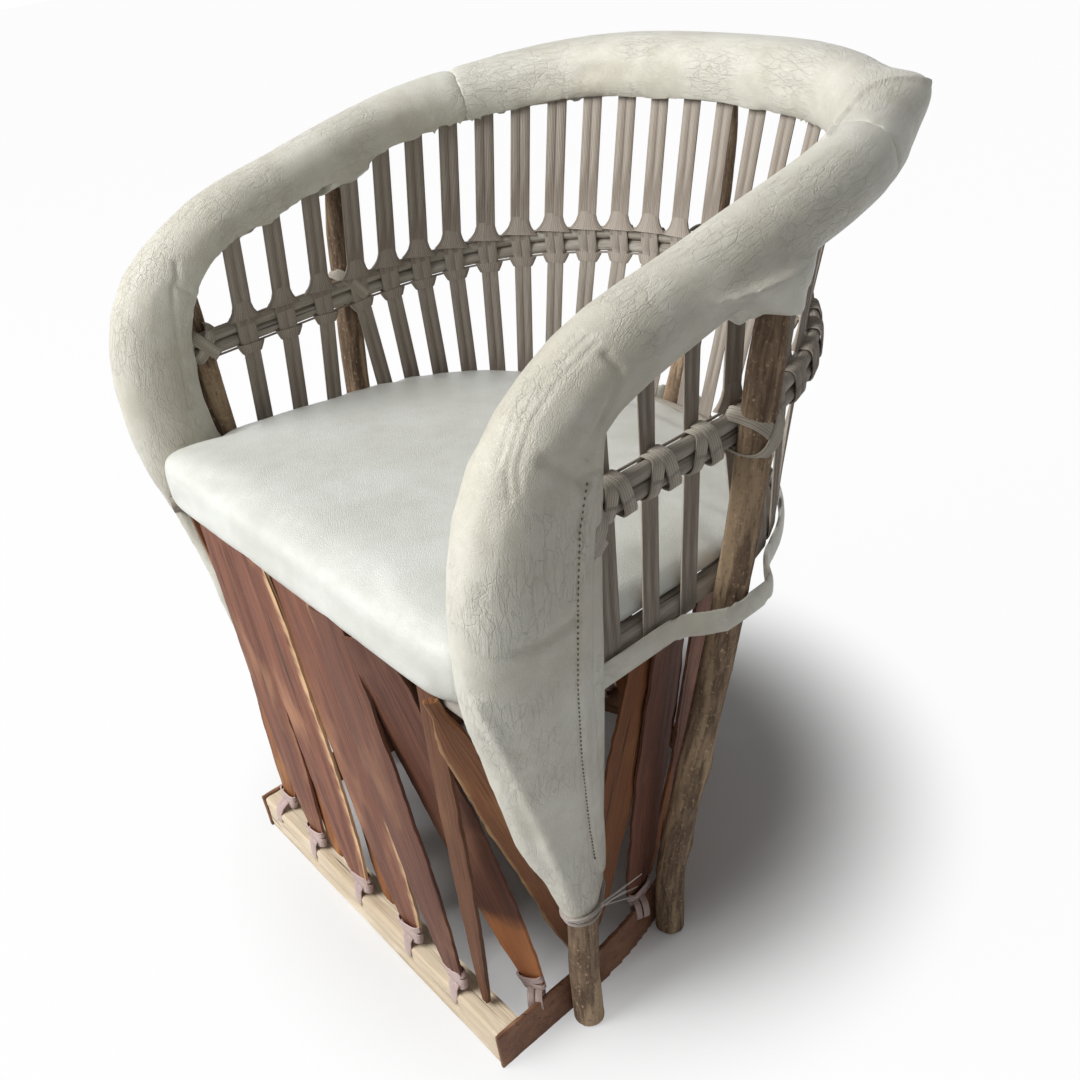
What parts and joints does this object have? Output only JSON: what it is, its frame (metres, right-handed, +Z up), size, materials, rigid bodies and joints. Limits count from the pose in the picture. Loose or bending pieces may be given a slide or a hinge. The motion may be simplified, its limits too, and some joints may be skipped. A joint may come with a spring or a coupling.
{
  "type": "equipale barrel chair",
  "caption": "Barrel armchair of bent rods and crossed split-wood slats, with a rolled leather arm and back, a laced barrel back and a leather seat.",
  "frame": {"origin": "on the floor, under the middle of the chair's outline", "axes": "+Z up, the chair faces -Y, and its right arm seen from the front is at +X"},
  "size_m": [0.6258, 0.6289, 0.7767],
  "materials": {
    "strip_wood": "thin bent strip, brown, matt",
    "pale_wood": "rough sawn, weathered and splintered",
    "bark": "round stick with its bark on, knots",
    "rod": "peeled grey rod",
    "leather": "off-white pigskin, fine wrinkles, soft sheen",
    "seat_leather": "off-white pigskin, smooth and satin",
    "lacing": "flat woven cord",
    "red_slat": "split cedar, red-brown, pale sapwood edges",
    "orange_slat": "split cedar, orange-brown",
    "string": "twisted string and thongs"
  },
  "bodies": {
    "root": {"base_hoop": "strip_wood", "front_rail": "pale_wood", "front_post_right": "bark", "front_post_left": "bark", "rear_post_right": "bark", "rear_post_left": "bark", "centre_back_post": "bark", "seat_hoop": "rod", "seat_front_bar": "rod", "seat_leather": "seat_leather", "seat_hem": "leather", "lower_back_rod": "rod", "upper_back_rod": "rod", "roll_core": "rod", "arm_leather_right": "leather", "back_roll_leather": "leather", "arm_leather_left": "leather", "right_side_lacing": "lacing", "right_back_lacing": "lacing", "left_side_lacing": "lacing", "left_back_lacing": "lacing", "outer_front_slat_1": "red_slat", "outer_front_slat_2": "red_slat", "outer_front_slat_3": "red_slat", "outer_front_slat_4": "red_slat", "inner_front_slat_1": "orange_slat", "inner_front_slat_2": "orange_slat", "inner_front_slat_3": "orange_slat", "inner_front_slat_4": "orange_slat", "outer_corner_slat_1": "red_slat", "outer_corner_slat_2": "orange_slat", "inner_corner_slat_1": "orange_slat", "outer_barrel_slat_1": "red_slat", "outer_barrel_slat_2": "red_slat", "outer_barrel_slat_3": "red_slat", "outer_barrel_slat_4": "red_slat", "outer_barrel_slat_5": "red_slat", "outer_barrel_slat_6": "red_slat", "outer_barrel_slat_7": "red_slat", "outer_barrel_slat_8": "red_slat", "outer_barrel_slat_9": "red_slat", "outer_barrel_slat_10": "red_slat", "inner_barrel_slat_1": "orange_slat", "inner_barrel_slat_2": "orange_slat", "inner_barrel_slat_3": "orange_slat", "inner_barrel_slat_4": "orange_slat", "inner_barrel_slat_5": "orange_slat", "inner_barrel_slat_6": "orange_slat", "inner_barrel_slat_7": "orange_slat", "inner_barrel_slat_8": "orange_slat", "inner_barrel_slat_9": "orange_slat", "inner_barrel_slat_10": "orange_slat", "inner_barrel_slat_11": "orange_slat", "leg_tie_right": "string", "leg_tie_left": "string"}
  },
  "joints": []
}
